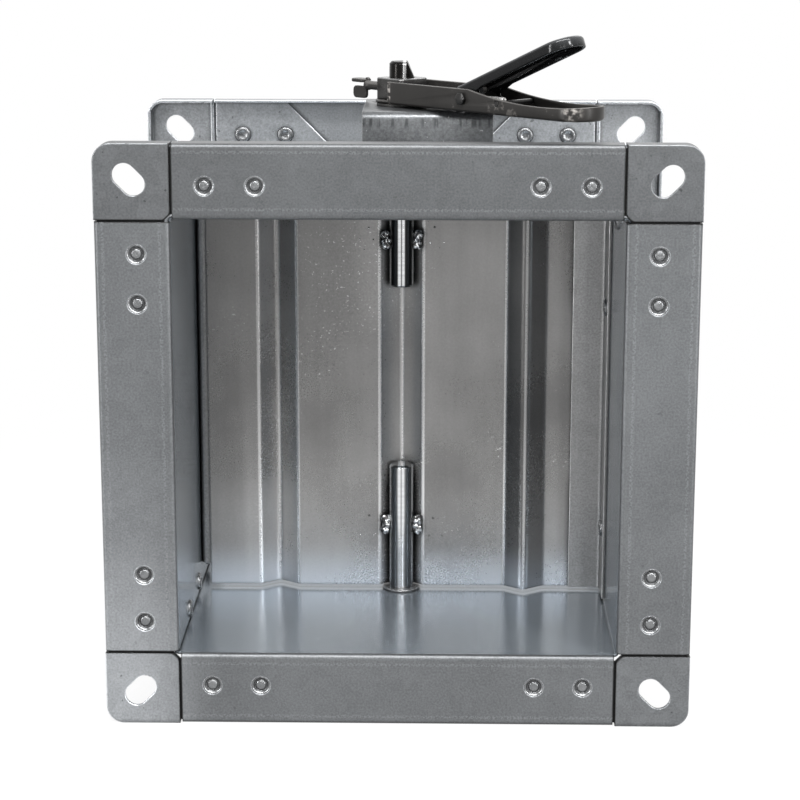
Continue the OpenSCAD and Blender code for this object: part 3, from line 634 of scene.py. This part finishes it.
def make_welds():
    """Lumpy welds beside both shafts, with a few drops of spatter on the blade's face."""
    low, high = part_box("weld_beads")
    lump_x, lump_y = high.x - 0.0031, low.y + 0.0024
    bm = bmesh.new()
    for side in (-1, 1):
        for z, spread in ((low.z + WELD_LENGTH / 2, 1), (high.z - WELD_LENGTH / 2, -1)):
            seed = 3.1 * side + 17 * z + spread
            for out, back, along, size, change in WELD_LUMPS:
                place = (side * (lump_x + out), lump_y + back, z + along * spread)
                weld_lump(bm, place, size, seed + change)
            for k in range(5):
                place = (side * (SPATTER_FROM + SPATTER_STEP * k), SHAFT_Y - BLADE_HALF_T,
                         z + SPATTER_REACH * math.sin(seed * 3 + k * 2.1))
                size = 0.00022 + 0.00012 * (k % 3)
                weld_lump(bm, place, (size, size * 0.7, size), seed + k)
    as_piece("welds_and_spatter", bm, NODES["weld_beads"]["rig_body"], "weld_metal", ["weld_beads"])


# Half-profile of a flange clinch: dish and pip on the face, dimpled button behind
CLINCH_FRONT = ((0, 0.62), (0.8, 0.56), (1.5, 0.55), (1.95, 0.68), (2.25, 1.0), (2.5, 1.3),
                (2.75, 1.38), (3.0, 1.2), (3.25, 0.85), (3.6, 0.45), (3.95, 0.16), (4.35, 0))
CLINCH_BACK = ((4.35, 2.7), (4.15, 3.3), (3.8, 3.8), (3.25, 4.08), (2.6, 4.1), (2.1, 4.0),
               (1.7, 3.75), (1.3, 3.62), (0, 3.6))
CLINCH_APART = 0.0095


def clinch_places(node):
    """Middles of the clinches in a node, found from groups of its points."""
    groups = []
    for vert in NODES[node].data.vertices:
        at = Vector((vert.co.x, vert.co.z))
        for group in groups:
            if (group[0] - at).length < CLINCH_APART:
                group.append(at)
                break
        else:
            groups.append([at])
    return [[(min(side) + max(side)) / 2 for side in zip(*group)] for group in groups]


def make_clinches(node, face_y, inward, sides=40):
    bm = bmesh.new()
    for number, (x, z) in enumerate(clinch_places(node)):
        rows = []
        for radius, deep in CLINCH_FRONT + CLINCH_BACK:
            row = []
            for k in range(sides if radius else 1):
                turn = 2 * math.pi * k / sides
                flat = Vector((math.cos(turn), 0, math.sin(turn))) * radius
                where = Vector((flat.x, deep, flat.z)) * 1.1 + Vector((number * 7.3, 0, 0))
                dent = noise.noise(where)
                worn = 0.05 * dent if radius < 4.3 else 0
                row.append(bm.verts.new((x + flat.x * MM, face_y + inward * (deep + worn) * MM,
                                         z + flat.z * MM)))
            rows.append(row)
        for a, b in zip(rows, rows[1:]):
            for k in range(sides):
                ring = [a[k % len(a)], a[(k + 1) % len(a)], b[(k + 1) % len(b)], b[k % len(b)]]
                bm.faces.new(list(dict.fromkeys(ring)))
    bmesh.ops.recalc_face_normals(bm, faces=bm.faces)
    as_piece(node + "_pressed", bm, NODES[node]["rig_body"], "clinch_steel", [node])


def soft_plate(bm, width, height, thick, corner, place, turn):
    """A flat ear with round corners, its width along X and its height along Z."""
    outline = []
    for cx, cz, start in ((1, 1, 0), (-1, 1, 90), (-1, -1, 180), (1, -1, 270)):
        for k in range(7):
            a = math.radians(start + 15 * k)
            outline.append(((width / 2 - corner) * cx + corner * math.cos(a),
                            (height / 2 - corner) * cz + corner * math.sin(a)))
    levels = ((-0.5, 0.8), (-0.3, 1), (0.3, 1), (0.5, 0.8))
    rows = []
    for level, wide in levels:
        inset = (1 - wide) * thick
        rows.append([bm.verts.new(Vector(place) + turn @ Vector((
            x - math.copysign(inset, x), level * thick, z - math.copysign(inset, z))))
            for x, z in outline])
    for a, b in zip(rows, rows[1:]):
        for k in range(len(a)):
            bm.faces.new((a[k], a[(k + 1) % len(a)], b[(k + 1) % len(b)], b[k]))
    bm.faces.new(rows[0])
    bm.faces.new(rows[-1])


def make_wing_screw():
    """The clamp screw with one ear lying flat above and one standing below."""
    stem_r, stem_length, stem_out = 0.0021, 0.017, 0.0148
    bead_r, bead_out = 0.0025, 0.0232
    ear_width, ear_thick, ear_corner = 0.0095, 0.0017, 0.002
    low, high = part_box("wing_screw")
    at = Vector((0, SHAFT_Y, (low.z + high.z) / 2))
    axis = Vector((math.cos(HANDLE_TURN), math.sin(HANDLE_TURN), 0))
    side = Matrix.Rotation(HANDLE_TURN, 3, "Z")
    bm = bmesh.new()
    stem = bmesh.ops.create_cone(bm, cap_ends=True, segments=32, radius1=stem_r, radius2=stem_r,
                                 depth=stem_length)
    bmesh.ops.transform(bm, verts=stem["verts"],
                        matrix=Matrix.Translation(at - axis * stem_out) @ side.to_4x4()
                        @ Matrix.Rotation(math.radians(90), 4, "Y"))
    bead = bmesh.ops.create_uvsphere(bm, u_segments=24, v_segments=12, radius=bead_r)
    bmesh.ops.translate(bm, verts=bead["verts"], vec=at - axis * bead_out)
    below, neck, above = (at - axis * back + Vector((0, 0, rise))
                          for back, rise in ((0.0287, -0.0036), (0.0237, 0.0006), (0.0283, 0.0021)))
    flat = side @ Matrix.Rotation(math.radians(90), 3, "X")
    soft_plate(bm, ear_width, 0.0058, ear_thick, ear_corner, below, side)
    soft_plate(bm, 0.0026, 0.0062, ear_thick, 0.0012, neck, side)
    soft_plate(bm, ear_width, 0.0062, ear_thick, ear_corner, above, flat)
    bmesh.ops.recalc_face_normals(bm, faces=bm.faces)
    as_piece("wing_screw_ears", bm, NODES["wing_screw"]["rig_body"], "black_steel", ["wing_screw"])


def white_to_lens(s):
    """1 for rays that show the background in the picture, in gloss or through glass."""
    seen, glossy, through = (s.add("ShaderNodeLightPath", {}, [], output=kind)
                             for kind in ("Is Camera Ray", "Is Glossy Ray", "Is Transmission Ray"))
    return seen.math("MAXIMUM", glossy).math("MAXIMUM", through)


def make_floor():
    """A pale floor that looks white but keeps the shadow under the duct."""
    half = 3.0
    bm = bmesh.new()
    corners = [bm.verts.new((x * half, y * half, FLOOR_Z - 0.0002))
               for x, y in ((-1, -1), (1, -1), (1, 1), (-1, 1))]
    bm.faces.new(corners)
    mesh = bpy.data.meshes.new("floor")
    bm.to_mesh(mesh)
    bm.free()
    floor = bpy.data.objects.new("floor", mesh)
    bpy.context.scene.collection.objects.link(floor)
    s = new_finish("floor_finish")
    soft = s.add("ShaderNodeBsdfDiffuse", {}, {"Color": (0.86, 0.86, 0.86, 1)}, output="BSDF")
    glow = s.add("ShaderNodeEmission", {}, {"Color": (1, 1, 1, 1), "Strength": 1.0},
                 output="Emission")
    white = 0.9 + s.distance((0, SHAFT_Y, FLOOR_Z)).above(0.2, 0.35) * 0.1
    mesh.materials.append(s.close(
        s.add("ShaderNodeMixShader", {}, [white_to_lens(s) * white, soft, glow])))


def make_world():
    """Soft grey light from all round, white where the lens or a gloss sees it."""
    s = Shader(bpy.data.worlds.new("studio"))
    room = s.add("ShaderNodeBackground", {}, {"Color": (0.62, 0.64, 0.67, 1)})
    white = s.add("ShaderNodeBackground", {}, {"Color": (1, 1, 1, 1)})
    mixed = s.add("ShaderNodeMixShader", {}, [white_to_lens(s), room, white])
    bpy.context.scene.world = s.close(mixed, "ShaderNodeOutputWorld")


def soft_light(name, place, target, size, watts):
    lamp = bpy.data.lights.new(name, "AREA")
    lamp.shape = "RECTANGLE"
    lamp.size, lamp.size_y = size
    lamp.energy = watts
    holder = bpy.data.objects.new(name, lamp)
    bpy.context.scene.collection.objects.link(holder)
    holder.location = place
    holder.rotation_mode = "QUATERNION"
    holder.rotation_quaternion = (Vector(target) - Vector(place)).to_track_quat("-Z", "Y")


def make_camera():
    yaw = Matrix.Rotation(CAMERA_YAW, 3, "Z")
    right = yaw @ Vector((1, 0, 0))
    level = yaw @ Vector((0, 1, 0))
    ahead = level * math.cos(CAMERA_PITCH) - Vector((0, 0, 1)) * math.sin(CAMERA_PITCH)
    up = level * math.sin(CAMERA_PITCH) + Vector((0, 0, 1)) * math.cos(CAMERA_PITCH)
    right_r = right * math.cos(CAMERA_ROLL) - up * math.sin(CAMERA_ROLL)
    up_r = right * math.sin(CAMERA_ROLL) + up * math.cos(CAMERA_ROLL)
    lens = bpy.data.cameras.new("camera")
    lens.sensor_width = SENSOR_MM
    lens.lens = FOCAL_PX / IMAGE_PX * SENSOR_MM
    lens.clip_start = 0.05
    lens.clip_end = 20
    camera = bpy.data.objects.new("camera", lens)
    bpy.context.scene.collection.objects.link(camera)
    turned = Matrix((right_r, up_r, -ahead)).transposed().to_4x4()
    turned.translation = CAMERA_PLACE
    camera.matrix_world = turned
    bpy.context.scene.camera = camera


def make_lights():
    soft_light("key", (0.15, -0.8, 1.4), (0, 0.08, 0), (1.7, 0.35), 47)
    soft_light("sun side", (1.0, -1.0, 1.05), (0.05, 0, 0), (0.25, 0.25), 9)
    soft_light("left strip", (-1.0, -0.55, 0.2), (0, 0.05, 0), (0.07, 0.9), 9)
    soft_light("right strip", (1.0, -0.7, 0.2), (0, 0.05, 0), (0.07, 0.9), 9)
    soft_light("near strip", (0.24, -1.25, 0.35), (0, 0.1, 0), (0.035, 0.7), 1.6)
    soft_light("second strip", (-0.12, -1.25, 0.35), (0, 0.1, 0), (0.03, 0.7), 1.1)
    soft_light("back", (0.3, 1.3, 1.2), (0, 0.1, 0), (1.2, 0.8), 8)


dress_nodes()
make_rounded_parts()
make_welds()
make_wing_screw()
make_clinches("front_flange_clinches", 0.0, 1)
make_clinches("rear_flange_clinches", CASE_HIGH.y, -1)
make_camera()
make_floor()
make_world()
make_lights()
bpy.context.scene.view_settings.view_transform = "Standard"
